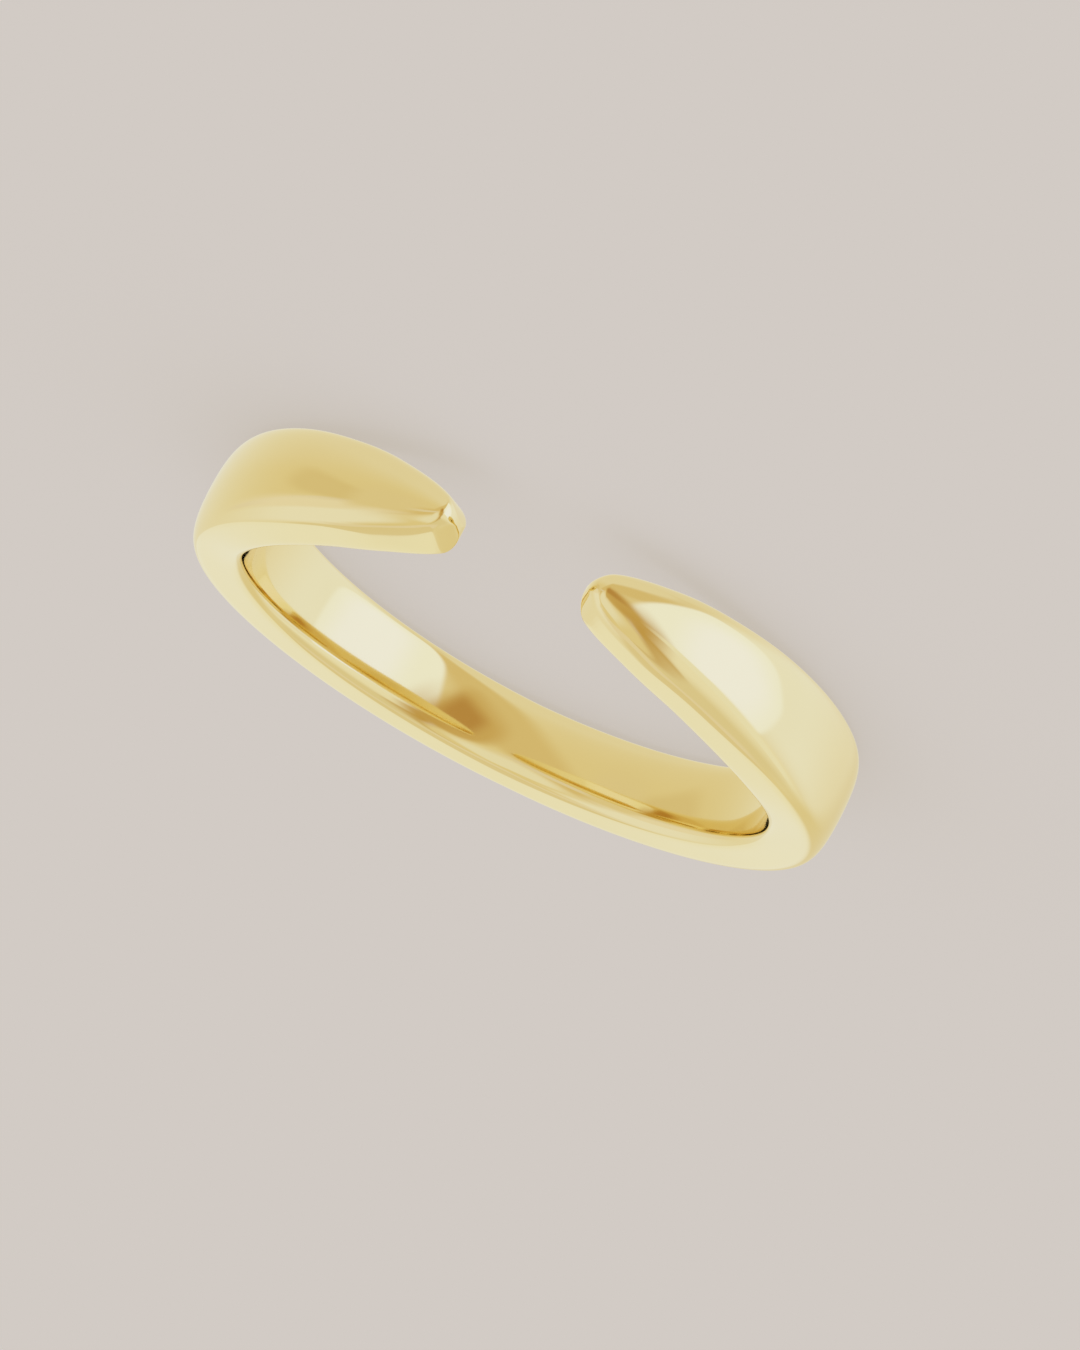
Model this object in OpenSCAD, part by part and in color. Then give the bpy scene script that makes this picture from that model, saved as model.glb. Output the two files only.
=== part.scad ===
// Open cuff ring. One solid band, narrow at the back of the finger, widens to two
// shoulders and runs out into two horn-shaped ends that face each other across a gap.
// Millimetres. The origin is the centre of the finger hole, the gap is on the -Y side,
// and the ring lies on its side, touching the table with both shoulders and its back.

/* [Finger hole] */
// Inner diameter, for a size 7 finger
bore_d = 17.3; // [15.5:0.1:20]

/* [Band] */
// Thickness from the finger hole to the middle of the outer face
band_t = 1.93; // [1.5:0.01:2.4]
// Width at the middle of the back
back_w = 2.7; // [2.2:0.02:3]
// Width at the shoulders, where the ring is widest
shoulder_w = 3.32; // [3:0.02:4]

/* [Ends] */
// Angle between the middle of the gap and each tip
tip_angle = 12; // [8:1:16]
// Width that a tip has just before it rounds off
tip_w = 0.58; // [0.4:0.02:1]
// Length over which a tip rounds off
tip_round = 0.48; // [0.3:0.02:0.7]

/* [Hidden] */

bore_r = bore_d / 2;

// The sections of one half, from the tip round to the middle of the back.
// angle       degrees round the finger hole from the middle of the gap
// half_w      half of the band's width
// inner_edge  the edges at the finger hole: 2.5 is well rounded, 10 is crisp
// outer_edge  the edges at the outer face, on the same scale
// lean        how much narrower the outer face is than the side at the finger
// crown       how far the outer face domes out between its edges, in millimetres
// comfort     how far the side at the finger domes, so that it slides on, in millimetres
ANGLE = 0;
HALF_W = 1;
INNER_EDGE = 2;
OUTER_EDGE = 3;
LEAN = 4;
CROWN = 5;
COMFORT = 6;
SECTIONS = [
    // angle, half_w, inner_edge, outer_edge, lean, crown, comfort
    [tip_angle, tip_w / 2, 12, 11, 0.15, 0.19, 0],
    [24, 0.68 * shoulder_w / 2, 8, 3.6, 0.06, 0.17, 0],
    [35, 0.85 * shoulder_w / 2, 9.9, 2.6, 0.035, 0.11, 0],
    [60, shoulder_w / 2, 10.4, 2.2, 0.04, 0.11, 0.05],
    [90, 0.94 * shoulder_w / 2, 8.5, 4.2, -0.03, 0.1, 0.05],
    [135, 1.04 * back_w / 2, 9, 4.3, -0.045, 0.08, 0.1],
    [180, back_w / 2, 8, 2.7, -0.095, 0.11, 0.1]
];
LAST = len(SECTIONS) - 1;

// Between two sections every column runs along a smooth cubic curve. Its slope at
// a section comes from both neighbours, and it is level at the middle of the back.
function step_after(i) = SECTIONS[i + 1][ANGLE] - SECTIONS[i][ANGLE];
function rise_after(i, column) =
    (SECTIONS[i + 1][column] - SECTIONS[i][column]) / step_after(i);
function slope(i, column) =
    i == LAST ? 0 :
    i == 0 ? 2 * rise_after(0, column) - slope(1, column) :
    (step_after(i) * rise_after(i - 1, column) + step_after(i - 1) * rise_after(i, column))
        / (step_after(i - 1) + step_after(i));
function section_before(angle, i = 0) =
    i < LAST - 1 && angle >= SECTIONS[i + 1][ANGLE] ? section_before(angle, i + 1) : i;
function column_at(angle, column) =
    let (i = section_before(angle))
    let (step = step_after(i))
    let (s = (angle - SECTIONS[i][ANGLE]) / step)
    (1 + 2 * s) * (1 - s) ^ 2 * SECTIONS[i][column]
        + s * (1 - s) ^ 2 * step * slope(i, column)
        + s ^ 2 * (3 - 2 * s) * SECTIONS[i + 1][column]
        + s ^ 2 * (s - 1) * step * slope(i + 1, column);

// A section's outline is a rounded rectangle. x runs from -1 at the finger hole to 1
// at the outer face, y from -1 to 1 across the band. The points gather at the four
// edges: each is turned towards the nearest one, by GATHER degrees at most.
OUTLINE_POINTS = 36;
GATHER = 8.6;
function outline_turn(j) =
    let (even = 360 * (j + 0.5) / OUTLINE_POINTS)
    even + GATHER * sin(4 * even);
function outline_point(turn, inner_edge, outer_edge) =
    let (n = inner_edge + (outer_edge - inner_edge) * (1 + cos(turn)) / 2)
    let (reach = (abs(cos(turn)) ^ n + abs(sin(turn)) ^ n) ^ (-1 / n))
    [reach * cos(turn), reach * sin(turn)];

// A tip closes like the end of an oval. Each of its rings lies at a share of tip_round
// from the tip, and shrinks there about the middle of the band's thickness.
TIP_RINGS = 8;
TIP_SHAPE = 2.4;
function tip_share(i) = 1 - cos(90 * i / TIP_RINGS) ^ (2 / TIP_SHAPE);
function tip_shrink(i) = sin(90 * i / TIP_RINGS) ^ (2 / TIP_SHAPE);

mid_r = bore_r + band_t / 2;
tip_round_angle = tip_round / mid_r * 180 / PI;
BODY_RINGS = 92;
body_step = (360 - 2 * tip_angle - 2 * tip_round_angle) / BODY_RINGS;

// Every ring of points as its angle and how far it has shrunk, from tip to tip
near_tip = [for (i = [1:TIP_RINGS - 1])
    [tip_angle + tip_round_angle * tip_share(i), tip_shrink(i)]];
body = [for (i = [0:BODY_RINGS])
    [tip_angle + tip_round_angle + body_step * i, 1]];
far_tip = [for (i = [TIP_RINGS - 1:-1:1])
    [360 - tip_angle - tip_round_angle * tip_share(i), tip_shrink(i)]];
RINGS = concat(near_tip, body, far_tip);

// The swept solid reaches this far into the finger hole, and the hole cuts it back
hole_overlap = 0.04;

function at_angle(r, angle, z) = [r * sin(angle), -r * cos(angle), z];
function ring_points(ring) =
    let (angle = min(ring[0], 360 - ring[0]))
    let (half_w = column_at(angle, HALF_W) * ring[1])
    let (inner_edge = column_at(angle, INNER_EDGE))
    let (outer_edge = column_at(angle, OUTER_EDGE))
    let (lean = column_at(angle, LEAN))
    let (crown = column_at(angle, CROWN) * ring[1])
    let (comfort = column_at(angle, COMFORT) * ring[1])
    [for (j = [0:OUTLINE_POINTS - 1])
        let (p = outline_point(outline_turn(j), inner_edge, outer_edge))
        let (half_t = band_t / 2 + (p.x < 0 ? hole_overlap : 0))
        let (outer_dome = crown * p.y ^ 2 * (1 + p.x) / 2)
        let (inner_dome = comfort * p.y ^ 2 * (1 - p.x) / 2)
        let (r = mid_r + half_t * ring[1] * p.x - outer_dome + inner_dome)
        at_angle(r, ring[0], half_w * p.y * (1 - lean * p.x))];

tips = [at_angle(mid_r, tip_angle, 0), at_angle(mid_r, 360 - tip_angle, 0)];
sweep_points = concat(tips, [for (ring = RINGS) each ring_points(ring)]);

// Triangles between neighbouring rings, and a fan at each tip
function index(i, j) = len(tips) + i * OUTLINE_POINTS + j % OUTLINE_POINTS;
last_ring = len(RINGS) - 1;
sweep_faces = concat(
    [for (j = [0:OUTLINE_POINTS - 1]) [0, index(0, j + 1), index(0, j)]],
    [for (i = [0:last_ring - 1]) for (j = [0:OUTLINE_POINTS - 1]) each [
        [index(i, j), index(i + 1, j + 1), index(i + 1, j)],
        [index(i, j), index(i, j + 1), index(i + 1, j + 1)]]],
    [for (j = [0:OUTLINE_POINTS - 1]) [1, index(last_ring, j), index(last_ring, j + 1)]]);

// The ring is widest at its shoulders, so on the table it pitches back until its
// back touches too. At that pitch the gap's side and the back reach equally low.
// It lies between 0 and MAX_PITCH degrees, and each try halves what is left.
MAX_PITCH = 10;
PITCH_TRIES = 14;
function lowest(pitch, side) =
    min([for (p = sweep_points) if (p.y * side > 0) p.z * cos(pitch) - p.y * sin(pitch)]);
function settle(low, high, tries) =
    let (pitch = (low + high) / 2)
    tries == 0 ? pitch :
    lowest(pitch, 1) > lowest(pitch, -1) ? settle(pitch, high, tries - 1) :
    settle(low, pitch, tries - 1);
rest_pitch = settle(0, MAX_PITCH, PITCH_TRIES);

// The whole band in polished pale gold, pitched as it rests
module ring()
{
    color("#DCC680")
        rotate([-rest_pitch, 0, 0])
            difference() {
                polyhedron(sweep_points, sweep_faces);
                cylinder(h = 2 * shoulder_w, r = bore_r, center = true, $fn = 180);
            }
}

ring();
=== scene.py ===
import math

import bpy
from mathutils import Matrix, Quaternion, Vector


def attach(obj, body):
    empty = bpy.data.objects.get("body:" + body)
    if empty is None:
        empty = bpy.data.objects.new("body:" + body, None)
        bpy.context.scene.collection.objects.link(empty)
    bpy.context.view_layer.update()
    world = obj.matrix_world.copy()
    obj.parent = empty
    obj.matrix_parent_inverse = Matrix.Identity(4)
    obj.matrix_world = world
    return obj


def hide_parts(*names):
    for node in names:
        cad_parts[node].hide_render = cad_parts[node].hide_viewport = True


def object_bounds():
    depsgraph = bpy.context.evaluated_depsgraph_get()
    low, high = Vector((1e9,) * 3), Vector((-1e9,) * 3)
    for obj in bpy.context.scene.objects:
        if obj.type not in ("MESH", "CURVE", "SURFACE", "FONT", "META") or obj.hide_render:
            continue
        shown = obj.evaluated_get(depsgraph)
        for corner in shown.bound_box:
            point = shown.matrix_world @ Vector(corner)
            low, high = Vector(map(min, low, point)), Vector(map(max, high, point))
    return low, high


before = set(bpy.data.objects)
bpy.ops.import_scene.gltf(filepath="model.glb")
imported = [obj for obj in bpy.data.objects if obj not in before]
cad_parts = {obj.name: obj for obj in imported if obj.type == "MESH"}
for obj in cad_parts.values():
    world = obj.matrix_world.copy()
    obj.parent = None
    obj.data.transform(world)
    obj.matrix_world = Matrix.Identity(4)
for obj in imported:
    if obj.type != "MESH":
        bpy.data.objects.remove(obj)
cad_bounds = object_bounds()


# The ring. One band of 14-karat yellow gold, cast in one piece, filed to its section and
# polished to a mirror. It grows from the back of the finger to the shoulders and runs out
# into two horn-shaped ends.
MM = 0.001


def add(tree, kind, inputs={}, **settings):
    """A new node with its settings made. An input takes a value, a socket or a node."""
    node = tree.nodes.new(kind)
    for name, value in settings.items():
        setattr(node, name, value)
    for name, value in inputs.items():
        if isinstance(value, bpy.types.Node):
            value = value.outputs[0]
        if isinstance(value, bpy.types.NodeSocket):
            tree.links.new(value, node.inputs[name])
        else:
            node.inputs[name].default_value = value
    return node


def colour(code):
    """Linear light of an sRGB hex colour."""
    shares = [int(code[i:i + 2], 16) / 255 for i in (1, 3, 5)]
    return [c / 12.92 if c < 0.04045 else ((c + 0.055) / 1.055) ** 2.4 for c in shares] + [1]


# Cast and polished 14-karat yellow gold. The tone drifts a little over the casting, and the
# felt wheel leaves hairlines along the band. Real hairlines are too fine to show here, so
# they are drawn 0.08 mm wide.
tone_patch = 3.5 * MM
hairline_width = 0.08 * MM
hairline_depth = 0.0005 * MM
gold = bpy.data.materials.new("polished_14k_yellow_gold")
gold.use_nodes = True
shader = gold.node_tree
shader.nodes.clear()
place = add(shader, "ShaderNodeTexCoord").outputs["Object"]
along = add(shader, "ShaderNodeAttribute", attribute_name="along_band").outputs["Vector"]
tone_noise = add(shader, "ShaderNodeTexNoise", {
    "Vector": place,
    "Scale": 1 / tone_patch,
    "Detail": 2,
})
tone = add(shader, "ShaderNodeMix", {
    "Factor": tone_noise,
    "A": colour("#F8E8B2"),
    "B": colour("#F4E4AC"),
}, data_type="RGBA")
hairlines = add(shader, "ShaderNodeTexNoise", {
    "Vector": along,
    "Scale": 1 / hairline_width,
    "Detail": 3,
})
bump = add(shader, "ShaderNodeBump", {
    "Height": hairlines,
    "Strength": 0.15,
    "Distance": hairline_depth,
})
polish = add(shader, "ShaderNodeMapRange", {
    "Value": hairlines,
    "To Min": 0.04,
    "To Max": 0.08,
})
surface = add(shader, "ShaderNodeBsdfPrincipled", {
    "Base Color": tone.outputs["Result"],
    "Metallic": 1,
    "Roughness": polish,
    "Normal": bump,
})
add(shader, "ShaderNodeOutputMaterial", {"Surface": surface})

# Half of the band from the tip to the middle of the back: degrees round the finger hole
# from the middle of the gap, half the width in mm, how crisp the edges are at the finger
# and at the outer face (2.5 well rounded, 10 crisp), how much narrower the outer face is
# than the side at the finger, and by how many mm the outer face and the side at the
# finger dome.
ring_sections = [
    (12, 0.29, 12, 11, 0.15, 0.19, 0.0),
    (24, 1.129, 8, 3.6, 0.06, 0.17, 0.0),
    (35, 1.411, 9.9, 2.6, 0.035, 0.11, 0.0),
    (60, 1.66, 10.4, 2.2, 0.04, 0.11, 0.05),
    (90, 1.560, 8.5, 4.2, -0.03, 0.10, 0.05),
    (135, 1.404, 9, 4.3, -0.045, 0.08, 0.10),
    (180, 1.35, 8, 2.7, -0.095, 0.11, 0.10),
]

band = bpy.data.node_groups.new("cuff_band", "GeometryNodeTree")
band.is_modifier = True
ring_sizes = {
    "Hole Radius": 8.65 * MM,
    "Thickness": 1.93 * MM,
    "Tip Angle": math.radians(12),
    "Tip Rounding": 0.48 * MM,
    "Edge Gather": math.radians(8.6),
    "Pitch": math.radians(1.26007),
}
for name in ring_sizes:
    band.interface.new_socket(name, in_out="INPUT", socket_type="NodeSocketFloat")
for name in ("Rings", "Points"):
    band.interface.new_socket(name, in_out="INPUT", socket_type="NodeSocketInt")
band.interface.new_socket("Finish", in_out="INPUT", socket_type="NodeSocketMaterial")
band.interface.new_socket("Ring", in_out="OUTPUT", socket_type="NodeSocketGeometry")
given = add(band, "NodeGroupInput").outputs

# A flat grid: X runs along the band from tip to tip, Y round its section
grid = add(band, "GeometryNodeMeshGrid", {
    "Size X": 1.0,
    "Size Y": 1.0,
    "Vertices X": given["Rings"],
    "Vertices Y": given["Points"],
})
on_grid = add(band, "ShaderNodeSeparateXYZ", {"Vector": grid.outputs["UV Map"]}).outputs

# The rings of points crowd together towards both tips: 0 spaces them evenly, and 1 would
# pile them up there
tip_crowding = 0.96
twice_round = add(band, "ShaderNodeMath", {0: on_grid["X"], 1: math.tau}, operation="MULTIPLY")
crowding = add(band, "ShaderNodeMath", {0: twice_round}, operation="SINE")
share = add(band, "ShaderNodeMath", {
    0: crowding,
    1: -tip_crowding / math.tau,
    2: on_grid["X"],
}, operation="MULTIPLY_ADD")
from_tip = add(band, "ShaderNodeMath", {0: given["Tip Angle"], 1: -2.0, 2: math.tau},
               operation="MULTIPLY_ADD")
angle = add(band, "ShaderNodeMath", {0: share, 1: from_tip, 2: given["Tip Angle"]},
            operation="MULTIPLY_ADD")
to_gap = add(band, "ShaderNodeMath", {0: angle, 1: math.pi}, operation="PINGPONG")
half_share = add(band, "ShaderNodeMath", {0: to_gap, 1: math.pi}, operation="DIVIDE")

# Each column of the sections becomes a smooth curve over half the ring. A column is divided
# by its top, a number that it doesn't pass, so that it stays within 1. The lean also goes
# below 0, so the curves aren't clipped.
column_tops = ((1, 2.0), (2, 12.0), (3, 12.0), (4, 0.5), (5, 0.5), (6, 0.5))
columns = []
for column, top in column_tops:
    curve = add(band, "ShaderNodeFloatCurve", {"Value": half_share})
    curve.mapping.use_clip = False
    curve.mapping.extend = "HORIZONTAL"
    points = curve.mapping.curves[0].points
    for row in ring_sections[2:]:
        points.new(row[0] / 180, row[column] / top)
    for point, row in zip(points, ring_sections):
        point.location = (row[0] / 180, row[column] / top)
        point.handle_type = "AUTO"
    curve.mapping.update()
    columns.append(add(band, "ShaderNodeMath", {0: curve, 1: top}, operation="MULTIPLY"))
half_width_mm, inner_edge, outer_edge, lean, crown_mm, comfort_mm = columns
half_width = add(band, "ShaderNodeMath", {0: half_width_mm, 1: MM}, operation="MULTIPLY")
crown = add(band, "ShaderNodeMath", {0: crown_mm, 1: MM}, operation="MULTIPLY")
comfort = add(band, "ShaderNodeMath", {0: comfort_mm, 1: MM}, operation="MULTIPLY")

# Round the section, the points gather at the four edges
even_turn = add(band, "ShaderNodeMath", {0: on_grid["Y"], 1: math.tau}, operation="MULTIPLY")
four_turns = add(band, "ShaderNodeMath", {0: even_turn, 1: 4.0}, operation="MULTIPLY")
four_waves = add(band, "ShaderNodeMath", {0: four_turns}, operation="SINE")
turn = add(band, "ShaderNodeMath", {0: four_waves, 1: given["Edge Gather"], 2: even_turn},
           operation="MULTIPLY_ADD")
cosine = add(band, "ShaderNodeMath", {0: turn}, operation="COSINE")
sine = add(band, "ShaderNodeMath", {0: turn}, operation="SINE")

# The section is a rounded rectangle whose power says how crisp its edges are
outward = add(band, "ShaderNodeMapRange", {
    "Value": cosine,
    "From Min": -1.0,
    "From Max": 1.0,
    "To Min": inner_edge,
    "To Max": outer_edge,
})
cosine_size = add(band, "ShaderNodeMath", {0: cosine}, operation="ABSOLUTE")
sine_size = add(band, "ShaderNodeMath", {0: sine}, operation="ABSOLUTE")
cosine_power = add(band, "ShaderNodeMath", {0: cosine_size, 1: outward}, operation="POWER")
sine_power = add(band, "ShaderNodeMath", {0: sine_size, 1: outward}, operation="POWER")
power_sum = add(band, "ShaderNodeMath", {0: cosine_power, 1: sine_power}, operation="ADD")
root = add(band, "ShaderNodeMath", {0: -1.0, 1: outward}, operation="DIVIDE")
reach = add(band, "ShaderNodeMath", {0: power_sum, 1: root}, operation="POWER")
x = add(band, "ShaderNodeMath", {0: reach, 1: cosine}, operation="MULTIPLY")
y = add(band, "ShaderNodeMath", {0: reach, 1: sine}, operation="MULTIPLY")

# A tip closes like the end of an oval. Within shut_within of its end it is shut to one
# point, however the angles are rounded.
oval_power = 2.4
shut_within = 0.00001 * MM
half_thickness = add(band, "ShaderNodeMath", {0: given["Thickness"], 1: 2.0}, operation="DIVIDE")
middle = add(band, "ShaderNodeMath", {0: given["Hole Radius"], 1: half_thickness},
             operation="ADD")
past_tip = add(band, "ShaderNodeMath", {0: to_gap, 1: given["Tip Angle"]},
               operation="SUBTRACT")
tip_length = add(band, "ShaderNodeMath", {0: past_tip, 1: middle}, operation="MULTIPLY")
left = add(band, "ShaderNodeMapRange", {
    "Value": tip_length,
    "From Min": shut_within,
    "From Max": given["Tip Rounding"],
    "To Min": 1.0,
    "To Max": 0.0,
})
left_power = add(band, "ShaderNodeMath", {0: left, 1: oval_power}, operation="POWER")
kept = add(band, "ShaderNodeMath", {0: 1.0, 1: left_power}, operation="SUBTRACT")
shrink = add(band, "ShaderNodeMath", {0: kept, 1: 1 / oval_power}, operation="POWER")

# Distance from the hole's axis: the thickness, less the domes of both faces
deep = add(band, "ShaderNodeMath", {0: x, 1: shrink}, operation="MULTIPLY")
flat_radius = add(band, "ShaderNodeMath", {0: deep, 1: half_thickness, 2: middle},
                  operation="MULTIPLY_ADD")
across_squared = add(band, "ShaderNodeMath", {0: y, 1: y}, operation="MULTIPLY")
across_shrunk = add(band, "ShaderNodeMath", {0: across_squared, 1: shrink},
                    operation="MULTIPLY")
outer_share = add(band, "ShaderNodeMath", {0: x, 1: 0.5, 2: 0.5}, operation="MULTIPLY_ADD")
inner_share = add(band, "ShaderNodeMath", {0: 1.0, 1: outer_share}, operation="SUBTRACT")
outer_pull = add(band, "ShaderNodeMath", {0: outer_share, 1: crown}, operation="MULTIPLY")
inner_pull = add(band, "ShaderNodeMath", {0: inner_share, 1: comfort}, operation="MULTIPLY")
pull = add(band, "ShaderNodeMath", {0: inner_pull, 1: outer_pull}, operation="SUBTRACT")
domed_radius = add(band, "ShaderNodeMath", {0: across_shrunk, 1: pull, 2: flat_radius},
                   operation="MULTIPLY_ADD")
radius = add(band, "ShaderNodeMath", {0: domed_radius, 1: given["Hole Radius"]},
             operation="MAXIMUM")

# Height along the hole's axis: the width, less the lean of the sides
lean_here = add(band, "ShaderNodeMath", {0: lean, 1: x}, operation="MULTIPLY")
upright = add(band, "ShaderNodeMath", {0: 1.0, 1: lean_here}, operation="SUBTRACT")
wide = add(band, "ShaderNodeMath", {0: half_width, 1: upright}, operation="MULTIPLY")
wide_here = add(band, "ShaderNodeMath", {0: wide, 1: y}, operation="MULTIPLY")
height = add(band, "ShaderNodeMath", {0: wide_here, 1: shrink}, operation="MULTIPLY")

# Into the ring's place, with the gap on the -Y side
angle_sine = add(band, "ShaderNodeMath", {0: angle}, operation="SINE")
angle_cosine = add(band, "ShaderNodeMath", {0: angle}, operation="COSINE")
sideways = add(band, "ShaderNodeMath", {0: radius, 1: angle_sine}, operation="MULTIPLY")
frontways = add(band, "ShaderNodeMath", {0: radius, 1: angle_cosine}, operation="MULTIPLY")
backways = add(band, "ShaderNodeMath", {0: frontways, 1: -1.0}, operation="MULTIPLY")
point = add(band, "ShaderNodeCombineXYZ", {"X": sideways, "Y": backways, "Z": height})
swept = add(band, "GeometryNodeSetPosition", {
    "Geometry": grid.outputs["Mesh"],
    "Position": point,
})

# The place along the band, across it and outwards, for the marks of the polishing wheel.
# Along the band it is shortened, so a hairline is 25 times as long as it is wide.
hairline_stretch = 25
arc = add(band, "ShaderNodeMath", {0: angle, 1: middle}, operation="MULTIPLY")
mark_length = add(band, "ShaderNodeMath", {0: arc, 1: 1 / hairline_stretch},
                  operation="MULTIPLY")
marks = add(band, "ShaderNodeCombineXYZ", {"X": mark_length, "Y": height, "Z": radius})
marked = add(band, "GeometryNodeStoreNamedAttribute", {
    "Geometry": swept,
    "Name": "along_band",
    "Value": marks,
}, data_type="FLOAT_VECTOR", domain="POINT")

# The grid's edges meet and its ends are shut, so merging their points closes the skin. Then
# it is pitched about the X axis as it rests.
weld_distance = 0.0002 * MM
closed = add(band, "GeometryNodeMergeByDistance", {
    "Geometry": marked,
    "Distance": weld_distance,
})
turned_back = add(band, "ShaderNodeMath", {0: given["Pitch"], 1: -1.0}, operation="MULTIPLY")
rest_turn = add(band, "ShaderNodeCombineXYZ", {"X": turned_back})
pitched = add(band, "GeometryNodeTransform", {"Geometry": closed, "Rotation": rest_turn})
smooth = add(band, "GeometryNodeSetShadeSmooth", {"Geometry": pitched})
real = add(band, "GeometryNodeRealizeInstances", {"Geometry": smooth})
finished = add(band, "GeometryNodeSetMaterial", {
    "Geometry": real,
    "Material": given["Finish"],
})
add(band, "NodeGroupOutput", {"Ring": finished})

blank = bpy.data.objects.new("cuff_blank", bpy.data.meshes.new("cuff_blank"))
bpy.context.scene.collection.objects.link(blank)
maker = blank.modifiers.new("band", "NODES")
maker.node_group = band
ring_inputs = ring_sizes | {"Rings": 401, "Points": 145, "Finish": gold}
for socket in band.interface.items_tree:
    if socket.in_out == "INPUT":
        maker[socket.identifier] = ring_inputs[socket.name]
ready = blank.evaluated_get(bpy.context.evaluated_depsgraph_get())
ring = bpy.data.objects.new("gold_ring", bpy.data.meshes.new_from_object(ready))
blank.modifiers.remove(maker)
bpy.data.objects.remove(blank)
bpy.context.scene.collection.objects.link(ring)
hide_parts("ring")
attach(ring, "root")


# The floor. A plain pale studio table of matt opal sheet, on which the ring lies. Most of
# its light comes through from below, so the ring's shadow stays faint. It is kept out of
# the metal's reflections, which show the light tent alone.
opal = bpy.data.materials.new("matt_opal_sheet")
opal.use_nodes = True
sheet = opal.node_tree
sheet.nodes.clear()
sheet_tone = colour("#D2CBC5")
matt = add(sheet, "ShaderNodeBsdfDiffuse", {"Color": sheet_tone})
lit_below = add(sheet, "ShaderNodeEmission", {"Color": sheet_tone, "Strength": 1.0})
share_from_below = 0.72
opal_light = add(sheet, "ShaderNodeMixShader", {0: share_from_below, 1: matt, 2: lit_below})
add(sheet, "ShaderNodeOutputMaterial", {"Surface": opal_light})
half_floor = 3.0
floor_z = cad_bounds[0].z
corners = [(-half_floor, -half_floor), (half_floor, -half_floor),
           (half_floor, half_floor), (-half_floor, half_floor)]
floor_mesh = bpy.data.meshes.new("studio_floor")
floor_mesh.from_pydata([(px, py, floor_z) for px, py in corners], [], [(0, 1, 2, 3)])
floor_mesh.materials.append(opal)
floor = bpy.data.objects.new("studio_floor", floor_mesh)
bpy.context.scene.collection.objects.link(floor)
floor.visible_glossy = False


# The light tent. Polished metal shows little but its surroundings, so the tent is pale
# cloth with softer and stronger lamps, warm card and a few dark gaps behind it. Its light
# on the floor is plain white.
tent = bpy.data.worlds.new("light_tent")
bpy.context.scene.world = tent
tent.use_nodes = True
sky = tent.node_tree
sky.nodes.clear()

# Where a ray looks: degrees round from the gap's side towards +X, and degrees up
towards = add(sky, "ShaderNodeTexCoord").outputs["Generated"]
heading = add(sky, "ShaderNodeSeparateXYZ", {"Vector": towards}).outputs
gapwards = add(sky, "ShaderNodeMath", {0: heading["Y"], 1: -1.0}, operation="MULTIPLY")
round_about = add(sky, "ShaderNodeMath", {0: heading["X"], 1: gapwards}, operation="ARCTAN2")
up_high = add(sky, "ShaderNodeMath", {0: heading["Z"]}, operation="ARCSINE")
compass = add(sky, "ShaderNodeCombineXYZ", {"X": round_about, "Y": up_high})

# Each panel's middle as those two angles, half its width and height, its tilt, how softly
# its edge fades, how square it is from 2 round to 8 square, its colour and its strength.
# A later one covers an earlier one.
panels = [
    ("pale cloth below the table", 0, -61, 400, 35.5, 0, 0.45, 8, "#E6E3D9", 1),
    ("warm card in front", 23, 1, 110, 11, 33, 0.4, 6.5, "#DACAA1", 1),
    ("white wall on the left", -109, -25, 48, 33.5, -2, 0.4, 4.7, "#E6EDFF", 1.08),
    ("round lamp on the left", -62, -6, 32, 55, -15, 0.05, 2.2, "#DAE4FF", 1.28),
    ("bulb of the round lamp", -70, -15, 19, 28, -4, 0.45, 2.5, "#CDD7FF", 1.5),
    ("cloth over the lamp", -78, 30, 42, 15, 2, 0.3, 4, "#E7E7E6", 1),
    ("gap beside the lens", -19.5, -0.5, 13.5, 20, 32, 0.3, 4.8, "#CDB37C", 1),
    ("gap up to the ceiling", -50, 45, 12.5, 51, 23.5, 0.4, 4.3, "#C5A668", 1),
    ("white cloth over the lens", 8, 43, 30, 34.5, 6, 0.3, 1.8, "#EAECED", 1),
    ("white cloth high on the right", 105, 38, 54.5, 29, -4, 0.3, 3.4, "#EDF1FB", 1),
    ("white cloth high on the left", -95, 20.5, 52, 14, -4, 0.16, 3.7, "#EDEFF0", 1),
    ("warm card high on the left", -95, 51, 45, 30, 10.5, 0.4, 4.8, "#E0DAC5", 1),
    ("pale wall behind", 171, -3.5, 54.5, 43, 16, 0.45, 3.7, "#E8E6D9", 1),
    ("pale cloth high behind", 191, 67.5, 55.5, 21.5, -4, 0.2, 4.3, "#E5E0D8", 1),
    ("warm board behind", 184, 51, 26, 16.5, 8, 0.1, 5, "#E0D8C0", 1),
    ("white wall low behind", 180, 21, 26, 14.5, 18, 0.06, 4.2, "#EEF1F0", 1),
    ("warm card behind on the left", -159, 4.5, 16, 35.5, -40, 0.45, 4.3, "#E1D9BC", 1),
    ("pale rail on the left", -79.5, 9, 39.5, 3, -6, 0.2, 5.5, "#EDF1F6", 1),
    ("beige rail on the right", 62, 6.5, 57.5, 3, -0.5, 0.2, 4.2, "#E1DCD6", 1),
    ("shade on the right", 76.5, -5, 19.5, 7.5, -20, 0.3, 3.5, "#DCD0AE", 1),
    ("camera body", -18.5, -7.5, 8, 8, 26, 0.45, 5, "#BA945B", 1),
    ("white cloth on the right", 81, 12.5, 34.5, 7.5, -13, 0.45, 2.2, "#EAE8E6", 1),
    ("edge of the right cloth", 54, 1, 12.5, 17, 0, 0.4, 3.3, "#E1D8BE", 1),
]
tent_light = colour("#E2D9BB")
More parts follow.
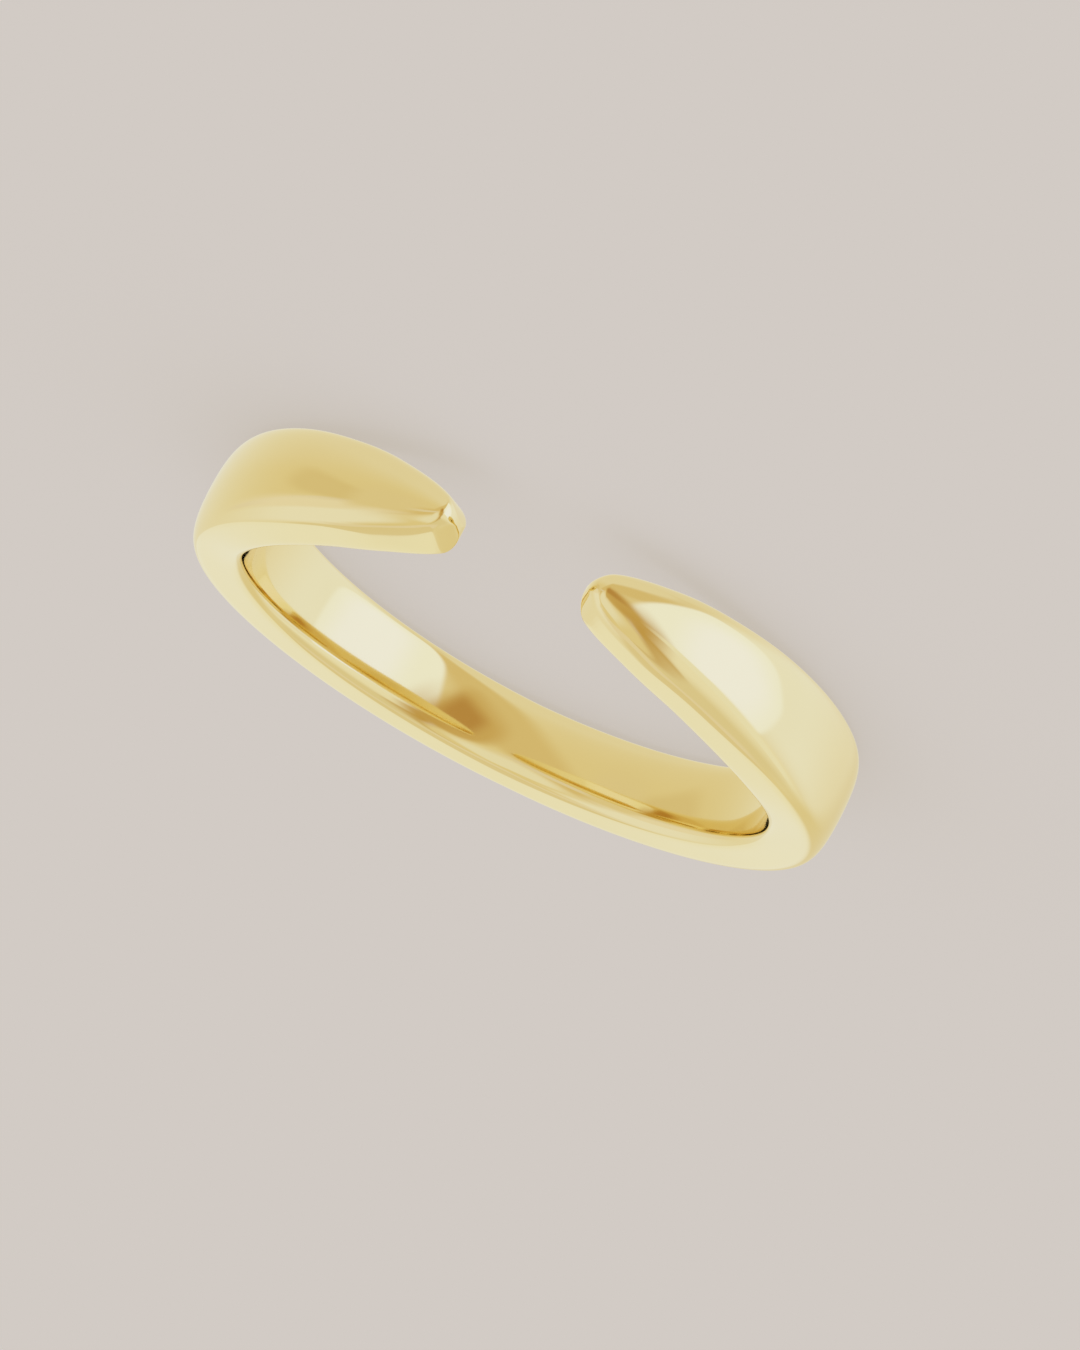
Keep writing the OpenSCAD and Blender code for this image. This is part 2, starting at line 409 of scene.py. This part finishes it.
for name, about, high, wide, tall, tilt, softness, squareness, code, strength in panels:
    aside = add(sky, "ShaderNodeVectorMath", {
        0: compass,
        1: (math.radians(about), math.radians(high), 0),
    }, operation="SUBTRACT")
    short_way = add(sky, "ShaderNodeVectorMath", {
        0: aside,
        1: (math.pi, math.pi, math.pi),
        2: (-math.pi, -math.pi, -math.pi),
    }, operation="WRAP")
    tilted = add(sky, "ShaderNodeVectorRotate", {
        "Vector": short_way,
        "Angle": math.radians(-tilt),
    }, rotation_type="Z_AXIS")
    in_panels = add(sky, "ShaderNodeVectorMath", {
        0: tilted,
        1: (math.radians(wide), math.radians(tall), 1),
    }, operation="DIVIDE")
    off_middle = add(sky, "ShaderNodeVectorMath", {0: in_panels}, operation="ABSOLUTE")
    powers = add(sky, "ShaderNodeVectorMath", {
        0: off_middle,
        1: (squareness, squareness, 1),
    }, operation="POWER")
    power_sum = add(sky, "ShaderNodeVectorMath", {0: powers, 1: (1, 1, 0)},
                    operation="DOT_PRODUCT")
    out_of_middle = add(sky, "ShaderNodeMath", {
        0: power_sum.outputs["Value"],
        1: 1 / squareness,
    }, operation="POWER")
    cover = add(sky, "ShaderNodeMapRange", {
        "Value": out_of_middle,
        "From Min": 1 - softness,
        "From Max": 1 + softness,
        "To Min": 1,
        "To Max": 0,
    }, interpolation_type="SMOOTHSTEP")
    lit = add(sky, "ShaderNodeMix", {
        "Factor": cover,
        "A": tent_light,
        "B": [share * strength for share in colour(code)],
    }, data_type="RGBA")
    lit.label = name
    tent_light = lit.outputs["Result"]

# The metal sees the panels. The matt floor is lit plainly, and past its edge the camera
# sees a backdrop of its own tone.
glow = add(sky, "ShaderNodeBackground", {"Color": tent_light, "Strength": 1.0})
plain_white = add(sky, "ShaderNodeBackground", {"Color": colour("#FFFFFF"), "Strength": 1.0})
backdrop = add(sky, "ShaderNodeBackground", {"Color": sheet_tone, "Strength": 1.0})
ray = add(sky, "ShaderNodeLightPath").outputs
on_matt = add(sky, "ShaderNodeMixShader", {0: ray["Is Diffuse Ray"], 1: glow, 2: plain_white})
in_view = add(sky, "ShaderNodeMixShader", {0: ray["Is Camera Ray"], 1: on_matt, 2: backdrop})
add(sky, "ShaderNodeOutputWorld", {"Surface": in_view})
tent.cycles.sampling_method = "NONE"
bpy.context.scene.view_settings.view_transform = "Standard"


# The camera looks down on the lying ring past the gap, and is turned so that the gap
# stands at the top of the picture. Back points from the ring to the camera, and right and
# up are the picture's own. The aim is a little right of the hole's middle and below it.
camera_distance = 148 * MM
aim_right = 0.481 * MM
aim_below = 0.575 * MM
camera_roll = math.radians(-152.1)
camera_data = bpy.data.cameras.new("camera")
camera_data.lens = 132.4
camera_data.clip_start = 0.01
camera_data.clip_end = 10
camera = bpy.data.objects.new("camera", camera_data)
bpy.context.scene.collection.objects.link(camera)
back = Vector((-0.1347, -0.9496, 0.2830))
right = Vector((-0.8937, -0.0069, -0.4486))
up = Vector((0.4279, -0.3133, -0.8478))
camera.location = camera_distance * back
aim = aim_right * right - aim_below * up
camera.rotation_mode = "QUATERNION"
level = (aim - camera.location).to_track_quat("-Z", "Y")
camera.rotation_quaternion = level @ Quaternion((0, 0, 1), camera_roll)
bpy.context.scene.camera = camera
